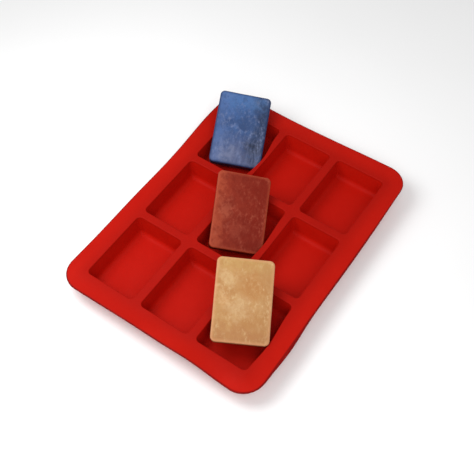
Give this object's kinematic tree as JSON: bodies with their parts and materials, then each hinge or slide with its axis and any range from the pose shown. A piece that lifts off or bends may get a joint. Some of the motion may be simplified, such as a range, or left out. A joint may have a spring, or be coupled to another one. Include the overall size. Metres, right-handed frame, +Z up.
{
  "type": "silicone bar soap mould",
  "caption": "Flat silicone mould with a three by three grid of drafted rectangular cavities and loose cast soap bars standing tilted in it.",
  "frame": {"origin": "middle of the mould's underside, on the surface it lies on", "axes": "+Z up out of the cavities, +Y along the mould's long side, +X across its short side"},
  "size_m": [0.221, 0.297, 0.0549],
  "materials": {
    "silicone": "satin",
    "honey_soap": "satin",
    "brick_soap": "satin",
    "blue_soap": "satin"
  },
  "bodies": {
    "mould": {"silicone_mould": "silicone"},
    "honey_bar": {"honey_soap_bar": "honey_soap"},
    "brick_bar": {"brick_soap_bar": "brick_soap"},
    "blue_bar": {"blue_soap_bar": "blue_soap"}
  },
  "joints": [
    {"name": "honey_bar_lift", "type": "slide", "parent": "mould", "child": "honey_bar", "axis": [0, 0, 1], "range_m": [0, 0.08]},
    {"name": "brick_bar_lift", "type": "slide", "parent": "mould", "child": "brick_bar", "axis": [0, 0, 1], "range_m": [0, 0.08]},
    {"name": "blue_bar_lift", "type": "slide", "parent": "mould", "child": "blue_bar", "axis": [0, 0, 1], "range_m": [0, 0.08]}
  ]
}
